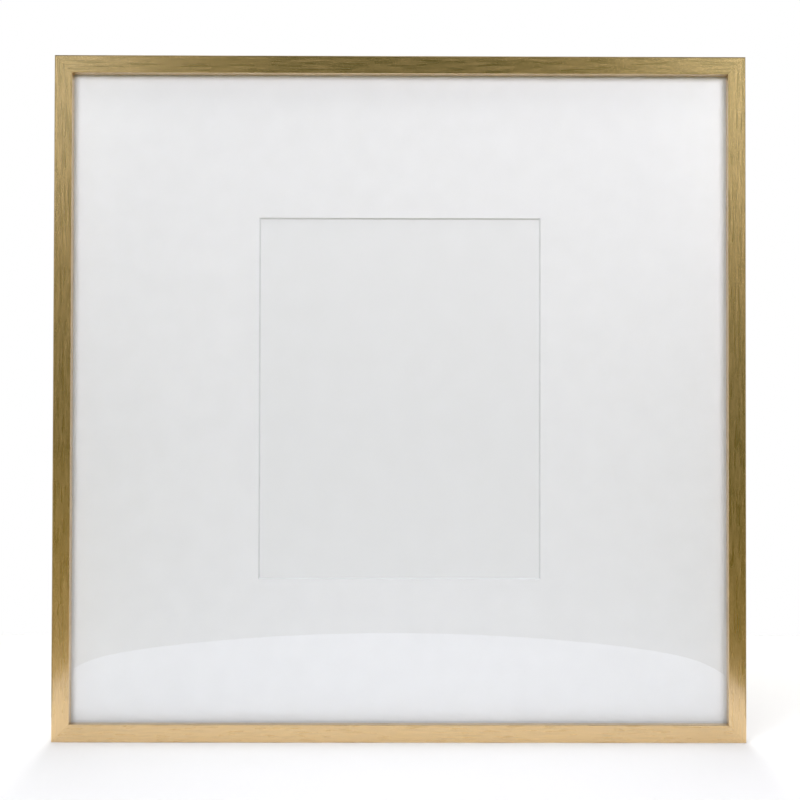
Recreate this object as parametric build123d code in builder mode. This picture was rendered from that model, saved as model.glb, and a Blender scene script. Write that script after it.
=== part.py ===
from build123d import *
import os

# A wall-hung picture frame. Four mitred rails hold the glass, a bevelled window mat, a mount
# board, a filler board and a backing board, and turn buttons keep them in the rabbet.
# Millimetres. +X is to the right as seen from the front, +Y towards the wall, +Z up.
# The origin is the middle of the underside of the bottom rail.

# ---- driving dimensions: the rails ----
outer_width = 658.0
outer_height = 652.0
outer_corner_radius = 0.9
rail_depth = 20.0
face_width = 17.0
lip_thickness = 7.0
rabbet_width = 5.0
outer_edge_radius = 1.5
sight_edge_radius = 0.4
back_edge_radius = 0.5
mitre_groove = 0.12

# ---- driving dimensions: what the rabbet holds ----
board_clearance = 1.0
glass_thickness = 2.0
mat_thickness = 1.4
window_width = 266.7
window_height = 342.9
mount_thickness = 1.4
filler_thickness = 4.8
backing_thickness = 3.2
backing_edge_radius = 0.6

# ---- driving dimensions: V-nails across the mitres ----
nail_offsets = (3.5, 8.5)
nail_leg = 6.5
nail_thickness = 0.5
nail_height = 10.0

# ---- driving dimensions: turn buttons and their screws ----
button_spacing = 380.0
button_length = 28.0
button_width = 9.5
button_thickness = 1.0
button_pivot_from_end = 5.5
button_pivot_from_edge = 6.0
button_hole_radius = 1.6
button_edge_radius = 0.25
button_gap = 0.1
screw_radius = 1.53
screw_shank = 6.5
screw_point = 2.5
screw_point_taper = 28.0
screw_head_radius = 3.2
screw_head_height = 2.0
screw_dome_radius = 1.2
cross_recess_length = 3.4
cross_recess_width = 0.9
cross_recess_depth = 1.2
bore_clearance = 0.02

# ---- driving dimensions: hangers ----
hanger_height = 456.0
hanger_from_edge = 7.0
strap_width = 7.0
strap_thickness = 0.8
strap_length = 20.5
strap_end_radius = 3.2
strap_screw_drop = 16.0
ring_wire_radius = 0.9
ring_clearance = 0.08
ring_width = 13.0
ring_depth = 10.5
ring_corner_radius = 1.6
ring_rest_angle = 6.0

# ---- driving dimensions: wall bumpers ----
bumper_radius = 5.0
bumper_thickness = 5.0
bumper_edge_radius = 1.0
bumper_from_side = 22.0

# ---- places worked out from them ----
front_y = -rail_depth / 2
back_y = rail_depth / 2
glass_y = front_y + lip_thickness
mat_y = glass_y + glass_thickness
mount_y = mat_y + mat_thickness
filler_y = mount_y + mount_thickness
backing_y = filler_y + filler_thickness

land_width = face_width - rabbet_width
board_width = outer_width - 2 * land_width - 2 * board_clearance
board_height = outer_height - 2 * land_width - 2 * board_clearance
board_z = land_width + board_height / 2
middle_z = outer_height / 2
left_x = -outer_width / 2
right_x = outer_width / 2

button_y = back_y + button_gap
button_head_y = button_y + button_thickness + button_gap
loop_inner_radius = ring_wire_radius + ring_clearance
loop_outer_radius = loop_inner_radius + strap_thickness
loop_y = back_y + loop_outer_radius
strap_back_y = back_y + 2 * strap_thickness
strap_screw_z = hanger_height - strap_screw_drop
hanger_x = outer_width / 2 - hanger_from_edge
bumper_x = outer_width / 2 - bumper_from_side

across = Vector(1, 0, 0)
to_wall = Vector(0, 1, 0)
up = Vector(0, 0, 1)

# Each rail: its name, the middle of its outer edge, the way inward, the way along and its length.
rails = {
    "top": ("top_rail", Vector(0, 0, outer_height), -up, across, outer_width),
    "bottom": ("bottom_rail", Vector(0, 0, 0), up, across, outer_width),
    "left": ("left_stile", Vector(left_x, 0, middle_z), across, up, outer_height),
    "right": ("right_stile", Vector(right_x, 0, middle_z), -across, up, outer_height),
}

# Each corner: its outer point, and the ways inward from it along the two rails that meet there.
corners = {
    "top_left": (Vector(left_x, 0, outer_height), across, -up),
    "top_right": (Vector(right_x, 0, outer_height), -across, -up),
    "bottom_left": (Vector(left_x, 0, 0), across, up),
    "bottom_right": (Vector(right_x, 0, 0), -across, up),
}

# Each turn button: its pivot, and the way that it points over the backing board.
button_places = {}
for side, (rail_name, middle, inward, along, length) in rails.items():
    end_names = ("left", "right") if along == across else ("lower", "upper")
    for end_name, step in zip(end_names, (-1, 1)):
        pivot = middle + inward * button_pivot_from_edge + along * (step * button_spacing / 2)
        button_places[f"{side}_{end_name}_turn_button"] = (pivot, inward)

hanger_sides = {"left": -hanger_x, "right": hanger_x}

os.makedirs("parts", exist_ok=True)


def save(builder, name):
    """Labels a finished piece and writes its file."""
    builder.part.label = name
    export_step(builder.part, f"parts/{name}.step")


def back_plane(place, y):
    """A plane at depth y that faces the wall, with its own x to the left and its own y up."""
    return Plane(origin=(place.X, y, place.Z), x_dir=(-1, 0, 0), z_dir=to_wall)


def add_nails(corner, mode):
    """The two V-nails of a corner, each with a leg in both rails, vertex on the mitre line."""
    corner_point, first_way, second_way = corners[corner]
    long_side = nail_leg + nail_thickness / 2
    for offset in nail_offsets:
        vertex = corner_point + (first_way + second_way) * offset
        for leg_way in (first_way, second_way):
            middle = vertex + leg_way * (long_side / 2 - nail_thickness / 2)
            with BuildSketch(Plane((middle.X, back_y, middle.Z), x_dir=leg_way, z_dir=to_wall)) as leg:
                Rectangle(long_side, nail_thickness)
            extrude(leg.sketch, amount=-nail_height, mode=mode)


def add_screw_shank(place, head_y, radius, mode):
    """A screw's shank and point, from under its head towards the front."""
    with BuildSketch(back_plane(place, head_y)) as shank:
        Circle(radius)
    extrude(shank.sketch, amount=-screw_shank, mode=mode)
    with BuildSketch(back_plane(place, head_y - screw_shank)) as point:
        Circle(radius)
    extrude(point.sketch, amount=-screw_point, taper=screw_point_taper, mode=mode)


def add_screw(place, head_y):
    """A whole pan-head screw with a cross recess."""
    with BuildSketch(back_plane(place, head_y)) as head:
        Circle(screw_head_radius)
    extrude(head.sketch, amount=screw_head_height)
    rim = edges(Select.LAST).filter_by(GeomType.CIRCLE).sort_by(Axis.Y)[-1]
    fillet(rim, screw_dome_radius)
    with BuildSketch(back_plane(place, head_y + screw_head_height)) as cross:
        Rectangle(cross_recess_length, cross_recess_width)
        Rectangle(cross_recess_width, cross_recess_length)
    extrude(cross.sketch, amount=-cross_recess_depth, mode=Mode.SUBTRACT)
    add_screw_shank(place, head_y, screw_radius, Mode.ADD)


# ---- the four rails: one moulding, mitred, bored for its screws and slotted for its nails ----
hanger_screw_places = [Vector(x, 0, strap_screw_z) for x in hanger_sides.values()]
for side, (rail_name, middle, inward, along, length) in rails.items():
    section_plane = Plane(origin=middle, x_dir=inward, z_dir=inward.cross(to_wall))
    with BuildPart() as rail:
        with BuildSketch(section_plane):
            with BuildLine():
                Polyline(
                    (0, front_y),
                    (face_width, front_y),
                    (face_width, glass_y),
                    (land_width, glass_y),
                    (land_width, back_y),
                    (0, back_y),
                    close=True,
                )
            make_face()
            fillet(vertices().sort_by_distance((0, front_y))[0], outer_edge_radius)
            fillet(vertices().sort_by_distance((face_width, front_y))[0], sight_edge_radius)
            fillet(vertices().sort_by_distance((0, back_y))[0], back_edge_radius)
        extrude(amount=length / 2, both=True)
        for end in (-1, 1):
            corner_point = middle + along * (end * length / 2)
            split(bisect_by=Plane(corner_point, z_dir=along * end + inward), keep=Keep.BOTTOM)
            groove_start = corner_point + to_wall * front_y
            with BuildSketch(Plane(groove_start, x_dir=to_wall, z_dir=inward - along * end)):
                Rectangle(mitre_groove, mitre_groove, rotation=45)
            extrude(amount=2 * face_width, mode=Mode.SUBTRACT)
        with BuildSketch(back_plane(Vector(0, 0, middle_z), front_y)):
            RectangleRounded(outer_width, outer_height, outer_corner_radius)
        extrude(amount=rail_depth, mode=Mode.INTERSECT)
        for corner in corners:
            add_nails(corner, Mode.SUBTRACT)
        for place, way in button_places.values():
            add_screw_shank(place, button_head_y, screw_radius + bore_clearance, Mode.SUBTRACT)
        for place in hanger_screw_places:
            add_screw_shank(place, strap_back_y, screw_radius + bore_clearance, Mode.SUBTRACT)
    save(rail, rail_name)

for corner in corners:
    with BuildPart() as corner_nails:
        add_nails(corner, Mode.ADD)
    save(corner_nails, f"{corner}_nails")

# ---- the stack in the rabbet, from the glass back ----
board_middle = Vector(0, 0, board_z)
window_middle = Vector(0, 0, middle_z)

with BuildPart() as glazing:
    with BuildSketch(back_plane(board_middle, glass_y)):
        Rectangle(board_width, board_height)
    extrude(amount=glass_thickness)
save(glazing, "glazing")

# The window's edge is a 45 degree bevel, so its front is wider than its back.
with BuildPart() as window_mat:
    with BuildSketch(back_plane(board_middle, mat_y)):
        Rectangle(board_width, board_height)
    extrude(amount=mat_thickness)
    with BuildSketch(back_plane(window_middle, mat_y)):
        Rectangle(window_width + 2 * mat_thickness, window_height + 2 * mat_thickness)
    extrude(amount=mat_thickness, taper=45, mode=Mode.SUBTRACT)
save(window_mat, "window_mat")

with BuildPart() as mount_board:
    with BuildSketch(back_plane(board_middle, mount_y)):
        Rectangle(board_width, board_height)
    extrude(amount=mount_thickness)
save(mount_board, "mount_board")

with BuildPart() as filler_board:
    with BuildSketch(back_plane(board_middle, filler_y)):
        Rectangle(board_width, board_height)
    extrude(amount=filler_thickness)
save(filler_board, "filler_board")

with BuildPart() as backing_board:
    with BuildSketch(back_plane(board_middle, backing_y)):
        Rectangle(board_width, board_height)
    extrude(amount=backing_thickness)
    fillet(faces().sort_by(Axis.Y)[-1].edges(), backing_edge_radius)
save(backing_board, "backing_board")

# ---- turn buttons: round-ended tongues, each on its own screw ----
for name, (pivot, way) in button_places.items():
    button_plane = Plane(pivot + to_wall * button_y, x_dir=way, z_dir=to_wall)
    with BuildPart() as turn_button:
        with BuildSketch(button_plane):
            with Locations((button_length / 2 - button_pivot_from_end, 0)):
                SlotOverall(button_length, button_width)
            Circle(button_hole_radius, mode=Mode.SUBTRACT)
        extrude(amount=button_thickness)
        fillet(faces().sort_by(Axis.Y)[-1].outer_wire().edges(), button_edge_radius)
    save(turn_button, name)

with BuildPart() as turn_button_screws:
    for place, way in button_places.values():
        add_screw(place, button_head_y)
save(turn_button_screws, "turn_button_screws")

# ---- hangers: a strap folded round the bar of a D-ring, held by one screw ----
for side, hanger_side_x in hanger_sides.items():
    fold_plane = Plane(origin=(hanger_side_x, 0, 0), x_dir=to_wall, z_dir=across)
    with BuildPart() as strap:
        with BuildSketch(fold_plane):
            with Locations(((back_y + strap_back_y) / 2, hanger_height - strap_length / 2)):
                Rectangle(2 * strap_thickness, strap_length)
            with Locations((loop_y, hanger_height)):
                Circle(loop_outer_radius)
                Circle(loop_inner_radius, mode=Mode.SUBTRACT)
        extrude(amount=strap_width / 2, both=True)
        tail = edges().filter_by(Axis.Y).group_by(Axis.Z)[0]
        fillet(tail, strap_end_radius)
        with BuildSketch(back_plane(Vector(hanger_side_x, 0, strap_screw_z), back_y)):
            Circle(screw_radius + bore_clearance)
        extrude(amount=2 * strap_thickness, mode=Mode.SUBTRACT)
    save(strap, f"{side}_hanger_strap")

    # The ring hangs from its bar, and its bow leans out just clear of the strap. Its plane's
    # own y points down.
    ring_plane = Plane(
        origin=(hanger_side_x, loop_y, hanger_height),
        x_dir=across,
        z_dir=to_wall.rotate(Axis.X, ring_rest_angle),
    )
    bow_radius = ring_width / 2 - ring_wire_radius
    leg_end = ring_depth - bow_radius
    with BuildPart() as ring:
        with BuildLine(ring_plane):
            Line((-bow_radius, leg_end), (-bow_radius, 0))
            Line((-bow_radius, 0), (bow_radius, 0))
            Line((bow_radius, 0), (bow_radius, leg_end))
            ThreePointArc((bow_radius, leg_end), (0, ring_depth), (-bow_radius, leg_end))
            fillet(vertices().group_by(Axis.Y)[0], ring_corner_radius)
        with BuildSketch(Plane(ring_plane.origin, z_dir=across)):
            Circle(ring_wire_radius)
        sweep()
    save(ring, f"{side}_hanger_ring")

with BuildPart() as hanger_screws:
    for place in hanger_screw_places:
        add_screw(place, strap_back_y)
save(hanger_screws, "hanger_screws")

# ---- rubber bumpers that keep the bottom of the frame off the wall ----
for side, step in (("left", -1), ("right", 1)):
    bumper_place = Vector(step * bumper_x, 0, land_width / 2)
    with BuildPart() as bumper:
        with BuildSketch(back_plane(bumper_place, back_y)):
            Circle(bumper_radius)
        extrude(amount=bumper_thickness)
        fillet(edges().sort_by(Axis.Y)[-1], bumper_edge_radius)
    save(bumper, f"{side}_bumper")
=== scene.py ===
import math

import bpy
from mathutils import Matrix, Vector


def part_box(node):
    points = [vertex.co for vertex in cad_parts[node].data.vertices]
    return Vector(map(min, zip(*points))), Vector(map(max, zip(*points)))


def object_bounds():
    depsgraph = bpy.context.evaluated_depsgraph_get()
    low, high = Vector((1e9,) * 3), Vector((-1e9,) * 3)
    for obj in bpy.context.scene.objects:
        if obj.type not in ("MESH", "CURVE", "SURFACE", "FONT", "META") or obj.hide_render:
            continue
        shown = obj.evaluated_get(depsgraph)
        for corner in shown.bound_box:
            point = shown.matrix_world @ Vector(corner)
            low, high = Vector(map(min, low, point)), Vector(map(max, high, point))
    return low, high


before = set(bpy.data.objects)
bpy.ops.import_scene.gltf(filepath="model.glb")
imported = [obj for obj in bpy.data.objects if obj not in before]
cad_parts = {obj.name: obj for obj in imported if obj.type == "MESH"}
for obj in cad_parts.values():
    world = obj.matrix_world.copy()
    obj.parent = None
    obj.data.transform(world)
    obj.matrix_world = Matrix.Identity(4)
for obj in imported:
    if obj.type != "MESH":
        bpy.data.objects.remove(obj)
cad_low, cad_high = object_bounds()

# The looks of a glazed and matted picture frame. Metres. The frame stands on a thin pale floor,
# its front towards -Y. Every CAD node keeps its shape and gets its own material.

SIGHT_SETBACK = 0.007        # how far the glass lies behind the face of the moulding
RAIL_NODES = {"top_rail": "X", "bottom_rail": "X", "left_stile": "Z", "right_stile": "Z"}
NOISE_RANGE = (0.3, 0.7)     # the low and the high end of what a noise gives


# ---- node helpers ----

def new_tree(name):
    """An empty node material and its output."""
    material = bpy.data.materials.new(name)
    material.use_nodes = True
    tree = material.node_tree
    tree.nodes.clear()
    output = tree.nodes.new("ShaderNodeOutputMaterial")
    return material, tree, output


def add(tree, kind, values=None, **settings):
    """A node with its settings, and its inputs set to plain values or linked to outputs."""
    made = tree.nodes.new(kind)
    for key, value in settings.items():
        setattr(made, key, value)
    for key, value in (values or {}).items():
        if isinstance(value, bpy.types.NodeSocket):
            tree.links.new(value, made.inputs[key])
        else:
            made.inputs[key].default_value = value
    return made


def place(tree, scale):
    """Object coordinates, which are the node's own metres, times a scale on each axis."""
    coordinates = add(tree, "ShaderNodeTexCoord")
    mapping = add(tree, "ShaderNodeMapping", {"Vector": coordinates.outputs["Object"], "Scale": scale})
    return mapping.outputs["Vector"]


def noise(tree, scale, detail=3.0, roughness=0.5, distortion=0.0):
    """Noise whose scale is given on each axis, in features for each metre."""
    values = {
        "Vector": place(tree, scale),
        "Scale": 1.0,
        "Detail": detail,
        "Roughness": roughness,
        "Distortion": distortion,
    }
    return add(tree, "ShaderNodeTexNoise", values).outputs["Fac"]


def even(scale):
    """The same scale on every axis."""
    return (scale, scale, scale)


def along_rail(axis, across, along):
    """A scale for a pattern that runs along X or Z, with other features across."""
    return (along, across, across) if axis == "X" else (across, across, along)


def ramp(tree, factor, low, high, low_value=0.0, high_value=1.0):
    """A straight step from low_value to high_value as factor goes from low to high."""
    values = {
        "Value": factor,
        "From Min": low,
        "From Max": high,
        "To Min": low_value,
        "To Max": high_value,
    }
    return add(tree, "ShaderNodeMapRange", values, clamp=True).outputs["Result"]


def blend_colours(tree, factor, first, second, mode="MIX"):
    """Two colours, mixed by a factor. The node numbers its factor 0 and its colours 6 and 7."""
    values = {0: factor, 6: first, 7: second}
    made = add(tree, "ShaderNodeMix", values, data_type="RGBA", blend_type=mode, clamp_factor=True)
    return made.outputs[2]


def maths(tree, operation, first, second):
    """One sum on two numbers."""
    return add(tree, "ShaderNodeMath", {0: first, 1: second}, operation=operation).outputs[0]


def mix_shaders(tree, share, first, second):
    """The first shader, and the second one by its share."""
    return add(tree, "ShaderNodeMixShader", {0: share, 1: first.outputs[0], 2: second.outputs[0]})


def bump(tree, height, strength, distance):
    """A normal from a height."""
    values = {"Height": height, "Strength": strength, "Distance": distance}
    return add(tree, "ShaderNodeBump", values).outputs["Normal"]


def rounded_edges(tree):
    """One on rounded edges and nothing on flat faces, which all face along an axis of the node."""
    normal = add(tree, "ShaderNodeTexCoord").outputs["Normal"]
    squares = add(tree, "ShaderNodeVectorMath", {0: normal, 1: normal}, operation="MULTIPLY")
    parts = add(tree, "ShaderNodeSeparateXYZ", {"Vector": squares.outputs[0]}).outputs
    largest = maths(tree, "MAXIMUM", maths(tree, "MAXIMUM", parts["X"], parts["Y"]), parts["Z"])
    return ramp(tree, largest, 0.99, 0.8)


def surface(tree, output, values):
    """The material's Principled shader."""
    shader = add(tree, "ShaderNodeBsdfPrincipled", values)
    tree.links.new(shader.outputs[0], output.inputs["Surface"])


# ---- materials ----

def gold_foil(axis):
    """Embossed olive-gold foil over wood: fine streaks and short pores along the rail, lacquered."""
    dark_streak = (0.68, 0.455, 0.19, 1)
    light_streak = (0.76, 0.51, 0.225, 1)
    cloud = (0.71, 0.475, 0.19, 1)
    pore = (0.46, 0.30, 0.11, 1)
    rubbed_highlight_gold = (0.86, 0.68, 0.42, 1)
    material, tree, output = new_tree(f"gold_foil_{axis}")
    streaks = noise(tree, along_rail(axis, 480.0, 34.0), detail=2.5, roughness=0.6, distortion=0.3)
    pores = ramp(tree, noise(tree, along_rail(axis, 760.0, 70.0), detail=2.0), 0.56, 0.66)
    clouds = noise(tree, even(24.0), detail=2.0)
    # Rounded edges lighter in colour: partly worn foil and partly a painted highlight along the edges.
    rubbed_and_highlight = maths(tree, "MULTIPLY", rounded_edges(tree), ramp(tree, clouds, 0.42, 0.6, 0.15, 0.8))
    tone = blend_colours(tree, ramp(tree, streaks, *NOISE_RANGE), dark_streak, light_streak)
    tone = blend_colours(tree, ramp(tree, clouds, 0.35, 0.7, 0.0, 0.4), tone, cloud)
    tone = blend_colours(tree, maths(tree, "MULTIPLY", pores, 0.08), tone, pore)
    tone = blend_colours(tree, rubbed_and_highlight, tone, rubbed_highlight_gold)
    roughness = ramp(tree, streaks, *NOISE_RANGE, 0.29, 0.22)
    height = maths(tree, "SUBTRACT", streaks, maths(tree, "MULTIPLY", pores, 0.2))
    surface(tree, output, {
        "Base Color": tone,
        "Metallic": ramp(tree, streaks, 0.32, 0.68, 0.96, 0.73),
        "Roughness": maths(tree, "ADD", roughness, maths(tree, "MULTIPLY", rubbed_and_highlight, 0.12)),
        "Coat Weight": 1.0,
        "Coat IOR": 1.9,
        "Coat Roughness": 0.12,
        "Normal": bump(tree, height, 0.3, 0.0003),
    })
    return material


def raw_wood(axis):
    """Bare pale wood, as the moulding shows at its back and in its rabbet."""
    dark_grain = (0.50, 0.33, 0.18, 1)
    light_grain = (0.68, 0.50, 0.31, 1)
    dark_fibre = (0.36, 0.22, 0.11, 1)
    material, tree, output = new_tree(f"raw_wood_{axis}")
    grain = noise(tree, along_rail(axis, 260.0, 9.0), detail=4.0, distortion=0.4)
    fibres = noise(tree, along_rail(axis, 1400.0, 60.0), detail=2.0)
    tone = blend_colours(tree, ramp(tree, grain, *NOISE_RANGE), dark_grain, light_grain)
    tone = blend_colours(tree, ramp(tree, fibres, 0.55, 0.75, 0.0, 0.5), tone, dark_fibre)
    surface(tree, output, {
        "Base Color": tone,
        "Roughness": ramp(tree, fibres, *NOISE_RANGE, 0.62, 0.8),
        "Normal": bump(tree, fibres, 0.35, 0.0002),
    })
    return material


def paper(name, light, dark, fibre_scale):
    """The smooth paper face of a board, with faint fibres and clouding."""
    material, tree, output = new_tree(name)
    fibres = noise(tree, even(fibre_scale), detail=4.0, roughness=0.65)
    clouds = noise(tree, even(45.0), detail=3.0)
    tone = blend_colours(tree, ramp(tree, clouds, *NOISE_RANGE), dark, light)
    tone = blend_colours(tree, ramp(tree, fibres, 0.58, 0.8, 0.0, 0.25), tone, dark)
    surface(tree, output, {
        "Base Color": tone,
        "Roughness": ramp(tree, fibres, *NOISE_RANGE, 0.78, 0.9),
        "Specular IOR Level": 0.3,
        "Normal": bump(tree, fibres, 0.12, 0.0001),
    })
    return material


def bevel_core():
    """The core that a bevel cut shows, in faint plies from front to back, set darker than the face
    paper: partly the core's own grey and partly painted shade in the bevel.
    """
    # Both ply colours are darker than the face paper: partly the core's own grey and partly painted
    # shade in the bevel.
    dark_ply_with_painted_shade = (0.67, 0.675, 0.68, 1)
    light_ply_with_painted_shade = (0.745, 0.75, 0.755, 1)
    material, tree, output = new_tree("mat_core")
    plies = noise(tree, (60.0, 2600.0, 60.0), detail=2.0)
    fibres = noise(tree, even(1800.0), detail=3.0)
    surface(tree, output, {
        "Base Color": blend_colours(tree, ramp(tree, plies, 0.35, 0.65), dark_ply_with_painted_shade, light_ply_with_painted_shade),
        "Roughness": ramp(tree, fibres, *NOISE_RANGE, 0.85, 0.95),
        "Specular IOR Level": 0.2,
        "Normal": bump(tree, fibres, 0.25, 0.0001),
    })
    return material


def glass_face():
    """The glass's front face: it mirrors what both faces of a thin pane would, and passes the rest."""
    both_faces_ior = 1.77
    mirrored_from_inside = 0.08
    material, tree, output = new_tree("glass_face")
    through = add(tree, "ShaderNodeBsdfTransparent", {"Color": (0.990, 0.993, 0.992, 1)})
    mirror = add(tree, "ShaderNodeBsdfGlossy", {"Color": (1, 1, 1, 1), "Roughness": 0.0})
    outside = add(tree, "ShaderNodeFresnel", {"IOR": both_faces_ior}).outputs[0]
    inside = add(tree, "ShaderNodeNewGeometry").outputs["Backfacing"]
    share = add(tree, "ShaderNodeMix", {"Factor": inside, "A": outside, "B": mirrored_from_inside})
    mix = mix_shaders(tree, share.outputs[0], through, mirror)
    tree.links.new(mix.outputs[0], output.inputs["Surface"])
    return material


def glass_rest():
    """The glass's back and its edges, which pass all that gets through the front."""
    material, tree, output = new_tree("glass_rest")
    through = add(tree, "ShaderNodeBsdfTransparent", {"Color": (1, 1, 1, 1)})
    tree.links.new(through.outputs[0], output.inputs["Surface"])
    return material


def hardboard():
    """Brown pressed-fibre board with a smooth sealed face."""
    dark_flake = (0.205, 0.115, 0.055, 1)
    light_flake = (0.275, 0.165, 0.085, 1)
    cloud = (0.25, 0.15, 0.075, 1)
    dark_fibre = (0.13, 0.07, 0.03, 1)
    material, tree, output = new_tree("hardboard")
    fibres = noise(tree, even(950.0), detail=5.0, roughness=0.7)
    flakes = noise(tree, even(330.0), detail=4.0, roughness=0.65, distortion=0.6)
    clouds = noise(tree, even(7.0), detail=3.0)
    tone = blend_colours(tree, ramp(tree, flakes, *NOISE_RANGE), dark_flake, light_flake)
    tone = blend_colours(tree, ramp(tree, clouds, 0.35, 0.7, 0.0, 0.4), tone, cloud)
    tone = blend_colours(tree, ramp(tree, fibres, 0.58, 0.72, 0.0, 0.45), tone, dark_fibre)
    surface(tree, output, {
        "Base Color": tone,
        "Roughness": ramp(tree, fibres, *NOISE_RANGE, 0.42, 0.6),
        "Normal": bump(tree, fibres, 0.2, 0.0002),
    })
    return material


def kraft():
    """The brown liner of corrugated board, with its flutes showing faintly."""
    dark_liner = (0.38, 0.25, 0.14, 1)
    light_liner = (0.50, 0.35, 0.21, 1)
    material, tree, output = new_tree("kraft_board")
    fibres = noise(tree, (700.0, 700.0, 200.0), detail=4.0, roughness=0.65)
    flute_values = {"Vector": place(tree, even(1.0)), "Scale": 25.0}
    flutes = add(tree, "ShaderNodeTexWave", flute_values, bands_direction="X").outputs["Fac"]
    surface(tree, output, {
        "Base Color": blend_colours(tree, ramp(tree, fibres, *NOISE_RANGE), dark_liner, light_liner),
        "Roughness": ramp(tree, fibres, *NOISE_RANGE, 0.8, 0.92),
        "Normal": bump(tree, maths(tree, "ADD", fibres, flutes), 0.15, 0.0003),
    })
    return material


def plated_steel(name, light, dark, roughness):
    """Plated sheet steel: bright, clouded plating with fine rubbing marks, and edges lighter in
    colour, partly worn plating and partly a painted highlight.
    """
    rubbed_highlight_steel = (0.88, 0.87, 0.85, 1)
    material, tree, output = new_tree(name)
    clouds = noise(tree, even(240.0), detail=4.0, roughness=0.6)
    marks = noise(tree, (300.0, 2500.0, 2500.0), detail=3.0)
    # Rounded edges lighter in colour: partly worn plating and partly a painted highlight along the
    # edges.
    rubbed_and_highlight = maths(tree, "MULTIPLY", rounded_edges(tree), ramp(tree, clouds, 0.4, 0.6, 0.2, 1.0))
    tone = blend_colours(tree, ramp(tree, clouds, *NOISE_RANGE), dark, light)
    tone = blend_colours(tree, rubbed_and_highlight, tone, rubbed_highlight_steel)
    shine = ramp(tree, marks, *NOISE_RANGE, roughness - 0.06, roughness + 0.08)
    surface(tree, output, {
        "Base Color": tone,
        "Metallic": 1.0,
        "Roughness": maths(tree, "SUBTRACT", shine, maths(tree, "MULTIPLY", rubbed_and_highlight, 0.08)),
        "Normal": bump(tree, marks, 0.12, 0.00008),
    })
    return material


def rubber():
    """Moulded black rubber with a fine grain and a little dust."""
    black = (0.018, 0.018, 0.019, 1)
    dusty = (0.075, 0.072, 0.068, 1)
    material, tree, output = new_tree("bumper_rubber")
    grain = noise(tree, even(2600.0), detail=3.0)
    dust = noise(tree, even(220.0), detail=4.0)
    surface(tree, output, {
        "Base Color": blend_colours(tree, ramp(tree, dust, 0.5, 0.8, 0.0, 0.35), black, dusty),
        "Roughness": ramp(tree, grain, *NOISE_RANGE, 0.55, 0.75),
        "Normal": bump(tree, grain, 0.2, 0.0001),
    })
    return material


# ---- materials on the CAD nodes ----

def dress(node_name, materials, choose=None):
    """Gives a node its materials, and each face the index that choose returns for it."""
    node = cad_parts[node_name]
    node.data.materials.clear()
    for material in materials:
        node.data.materials.append(material)
    for face in node.data.polygons:
        face.material_index = choose(face) if choose else 0


def rail_chooser(name, axis):
    """Foil, 0, on a rail's front and outer side, and bare wood, 1, at its back and in its rabbet."""
    low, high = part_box(name)
    across = 2 if axis == "X" else 0
    outward = 1 if low[across] + high[across] > cad_low[across] + cad_high[across] else -1
    lip_back = low.y + SIGHT_SETBACK + 0.0001

    def choose(face):
        at_back = face.normal.y > 0.5
        behind_lip = face.center.y > lip_back
        outside = face.normal[across] * outward > 0.3
        return 1 if at_back or (behind_lip and not outside) else 0

    return choose


def dress_rails():
    for name, axis in RAIL_NODES.items():
        dress(name, [gold_foil(axis), raw_wood(axis)], rail_chooser(name, axis))


def dress_boards():
    """White paper on the mat with its core on the bevel, and the sheets behind it."""
    mat_white = paper("mat_white", (0.865, 0.865, 0.874, 1), (0.842, 0.842, 0.850, 1), 1500.0)
    mount_white = paper("mount_white", (0.838, 0.840, 0.847, 1), (0.818, 0.820, 0.825, 1), 1100.0)
    dress("window_mat", [mat_white, bevel_core()], lambda face: 0 if abs(face.normal.y) > 0.9 else 1)
    dress("mount_board", [mount_white])
    dress("filler_board", [kraft()])
    dress("backing_board", [hardboard()])


def dress_glass():
    dress("glazing", [glass_face(), glass_rest()], lambda face: 0 if face.normal.y < -0.9 else 1)


def dress_hardware():
    """Zinc on the buttons and screws, nickel on the hangers, plain nails and rubber bumpers."""
    zinc = plated_steel("zinc_plate", (0.74, 0.75, 0.77, 1), (0.58, 0.59, 0.62, 1), 0.34)
    nickel = plated_steel("nickel_plate", (0.72, 0.69, 0.64, 1), (0.60, 0.57, 0.52, 1), 0.22)
    plain = plated_steel("plain_steel", (0.50, 0.50, 0.52, 1), (0.38, 0.38, 0.40, 1), 0.40)
    bumpers = rubber()
    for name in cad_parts:
        if name.endswith(("turn_button", "screws")):
            dress(name, [zinc])
        elif name.endswith(("strap", "ring")):
            dress(name, [nickel])
        elif name.endswith("nails"):
            dress(name, [plain])
        elif name.endswith("bumper"):
            dress(name, [bumpers])


dress_rails()
dress_boards()
dress_hardware()
dress_glass()


# ---- the studio: a thin pale floor, soft lamps and a plain surround ----

FLOOR_BOW_MIDDLE = Vector((-0.005, 0.11, 0.0))
FLOOR_BOW_RADIUS = 0.6
FLOOR_BOW_SWEEP = math.radians(75)
FLOOR_BOW_POINTS = 193
FLOOR_HALF_WIDTH = 0.397
FLOOR_CORNER_POWER = 12
FLOOR_BACK_CORNERS = ((0.58, 0.47), (-0.58, 0.47))
FLOOR_THICKNESS = 0.0004

FLOOR_ALBEDO = (0.92, 0.918, 0.90, 1)

ROOM_LOW = (0.25, 0.20, 0.015, 1)
ROOM_LEVEL = (0.04, 0.062, 0.013, 1)
ROOM_BEHIND = (0.17, 0.17, 0.17, 1)
ROOM_TOP = (0.20, 0.20, 0.20, 1)
BLACK = (0, 0, 0, 1)
WHITE = (1, 1, 1, 1)

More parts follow.
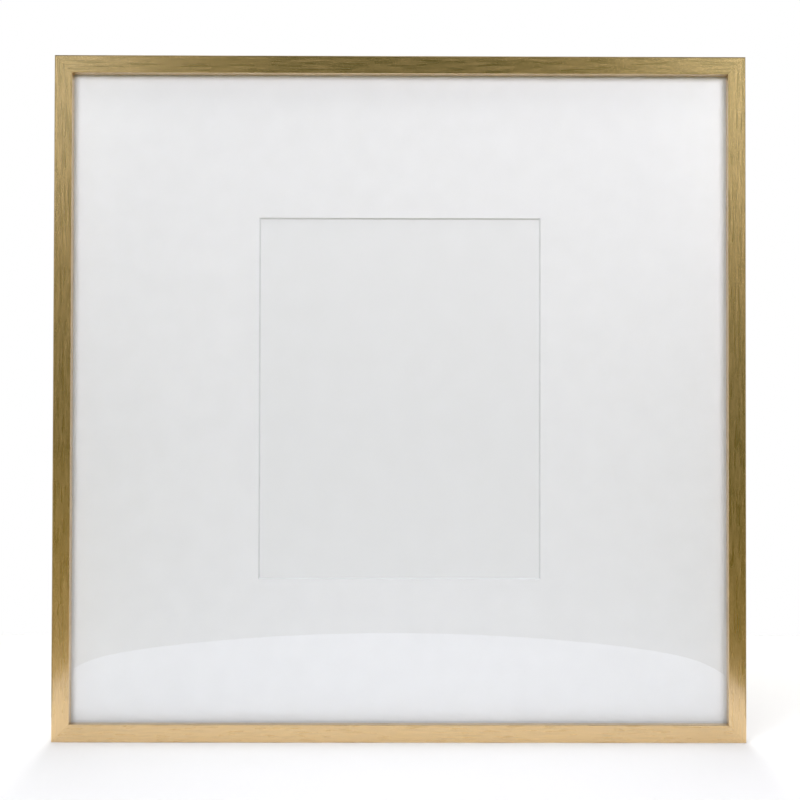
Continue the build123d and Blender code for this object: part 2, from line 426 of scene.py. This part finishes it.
# Each glow: its azimuth, its elevation and its width in degrees, and its colour.
GLOWS = (
    (28, 22, 18, (0.68, 0.76, 0.65, 1)),
    (28, 14, 16, (0.50, 0.45, 0.35, 1)),
    (-28, 22, 18, (0.78, 0.86, 0.80, 1)),
    (-28, 14, 16, (0.34, 0.28, 0.22, 1)),
    (-30, -14, 20, (0.18, 0.14, 0.05, 1)),
    (-24, -16, 12, (0.15, 0.15, 0.18, 1)),
    (90, 10, 45, (0.36, 0.36, 0.36, 1)),
    (-90, 10, 45, (0.36, 0.36, 0.36, 1)),
    (180, 25, 60, (0.7, 0.7, 0.7, 1)),
)

frame_middle = Vector((0, 0, cad_high.z / 2))


def floor_rim():
    """The floor's outline: a bowed front with rounded corners, and a wider straight back."""
    rim = []
    for point in range(FLOOR_BOW_POINTS):
        angle = FLOOR_BOW_SWEEP * (2 * point / (FLOOR_BOW_POINTS - 1) - 1)
        across = math.sin(angle) * FLOOR_BOW_RADIUS
        past_side = abs(across / FLOOR_HALF_WIDTH) ** FLOOR_CORNER_POWER
        across /= (1 + past_side) ** (1 / FLOOR_CORNER_POWER)
        rim.append(FLOOR_BOW_MIDDLE + Vector((across, -math.cos(angle) * FLOOR_BOW_RADIUS, 0.0)))
    for across, along in FLOOR_BACK_CORNERS:
        rim.append(Vector((across, along, 0.0)))
    return rim


def make_floor():
    """The pale floor that the frame stands on, a thin sheet with its top at no height."""
    rim = floor_rim()
    count = len(rim)
    under = [point - Vector((0, 0, FLOOR_THICKNESS)) for point in rim]
    faces = [list(range(count)), list(range(2 * count - 1, count - 1, -1))]
    for point in range(count):
        following = (point + 1) % count
        faces.append([following, point, point + count, following + count])
    mesh = bpy.data.meshes.new("floor_sheet")
    mesh.from_pydata(rim + under, [], faces)
    floor = bpy.data.objects.new("floor_sheet", mesh)
    bpy.context.scene.collection.objects.link(floor)
    material, tree, output = new_tree("pale_floor")
    surface(tree, output, {"Base Color": FLOOR_ALBEDO, "Roughness": 0.7})
    floor.data.materials.append(material)


def towards(azimuth, elevation):
    """The direction that lies azimuth degrees right of straight out of the front, and elevation up."""
    azimuth, elevation = math.radians(azimuth), math.radians(elevation)
    level = math.cos(elevation)
    return Vector((math.sin(azimuth) * level, -math.cos(azimuth) * level, math.sin(elevation)))


def make_lamp(name, azimuth, elevation, distance, size, energy, colour):
    """A soft square lamp that faces the frame's middle."""
    data = bpy.data.lights.new(name, "AREA")
    data.shape = "SQUARE"
    data.size = size
    data.energy = energy
    data.color = colour
    lamp = bpy.data.objects.new(name, data)
    bpy.context.scene.collection.objects.link(lamp)
    lamp.location = frame_middle + towards(azimuth, elevation) * distance
    lamp.rotation_euler = (frame_middle - lamp.location).to_track_quat("-Z", "Y").to_euler()
    lamp.visible_camera = False
    lamp.visible_glossy = False


def make_lamps():
    """Two lamps in front of the frame, one high above its front and one behind it."""
    make_lamp(
        "lamp_right", azimuth=38, elevation=29, distance=1.05, size=0.5, energy=5.85,
        colour=(0.885, 0.872, 0.99),
    )
    make_lamp(
        "lamp_left", azimuth=-33, elevation=26, distance=1.05, size=0.5, energy=4.85,
        colour=(0.857, 0.864, 1.01),
    )
    make_lamp(
        "lamp_above", azimuth=-36, elevation=74, distance=3.05, size=1.2, energy=32.5,
        colour=(0.988, 0.97, 0.945),
    )
    make_lamp(
        "lamp_behind", azimuth=180, elevation=40, distance=2.6, size=1.2, energy=44.0,
        colour=(1, 1, 1),
    )


def glow(tree, direction, azimuth, elevation, width, colour):
    """A round glow in the surround, colour at its middle and nothing past width degrees from it."""
    aimed = {0: direction, 1: towards(azimuth, elevation)}
    nearness = add(tree, "ShaderNodeVectorMath", aimed, operation="DOT_PRODUCT").outputs["Value"]
    values = {"Value": nearness, "From Min": math.cos(math.radians(width)), "From Max": 1.0}
    share = add(tree, "ShaderNodeMapRange", values, interpolation_type="SMOOTHERSTEP")
    return blend_colours(tree, share.outputs["Result"], BLACK, colour)


def make_world():
    """White where the camera looks past the object, and a dimmer room that the object mirrors."""
    world = bpy.data.worlds.new("studio")
    bpy.context.scene.world = world
    world.use_nodes = True
    tree = world.node_tree
    tree.nodes.clear()
    output = tree.nodes.new("ShaderNodeOutputWorld")
    direction = add(tree, "ShaderNodeTexCoord").outputs["Generated"]
    parts = add(tree, "ShaderNodeSeparateXYZ", {"Vector": direction}).outputs
    room = blend_colours(tree, ramp(tree, parts["Z"], -0.30, -0.02), ROOM_LOW, ROOM_LEVEL)
    room = blend_colours(tree, ramp(tree, parts["Y"], -0.5, 0.1), room, ROOM_BEHIND)
    room = blend_colours(tree, ramp(tree, parts["Z"], 0.5, 0.95), room, ROOM_TOP)
    for glow_values in GLOWS:
        room = blend_colours(tree, 1.0, room, glow(tree, direction, *glow_values), "ADD")
    lit = add(tree, "ShaderNodeBackground", {"Color": room, "Strength": 1.0})
    seen = add(tree, "ShaderNodeBackground", {"Color": WHITE, "Strength": 1.0})
    seen_by_camera = add(tree, "ShaderNodeLightPath").outputs["Is Camera Ray"]
    mix = mix_shaders(tree, seen_by_camera, lit, seen)
    tree.links.new(mix.outputs[0], output.inputs["Surface"])


make_floor()
make_lamps()
make_world()


# ---- the camera: level with the frame's middle, a metre in front, looking very slightly up ----

CAMERA_DISTANCE = 1.0
CAMERA_ASIDE = -0.0028
CAMERA_HEIGHT = 0.3137
CAMERA_LENS = 47.46          # mm on a 36 mm sensor
SENSOR_WIDTH = 36.0
LOOK_UP = math.radians(0.606)
LOOK_RIGHT = math.radians(0.173)
TILT = math.radians(0.119)


def make_camera():
    """The scene's camera, which looks along +Y before it is turned by its three small angles."""
    data = bpy.data.cameras.new("camera")
    data.lens = CAMERA_LENS
    data.sensor_width = SENSOR_WIDTH
    camera = bpy.data.objects.new("camera", data)
    bpy.context.scene.collection.objects.link(camera)
    facing = Matrix.Rotation(math.radians(90) + LOOK_UP, 4, "X")
    turned = Matrix.Rotation(-LOOK_RIGHT, 4, "Z")
    tilted = Matrix.Rotation(TILT, 4, "Z")
    standpoint = Vector((CAMERA_ASIDE, cad_low.y - CAMERA_DISTANCE, CAMERA_HEIGHT))
    camera.matrix_world = Matrix.Translation(standpoint) @ turned @ facing @ tilted
    bpy.context.scene.camera = camera


make_camera()
bpy.context.scene.view_settings.view_transform = "Standard"
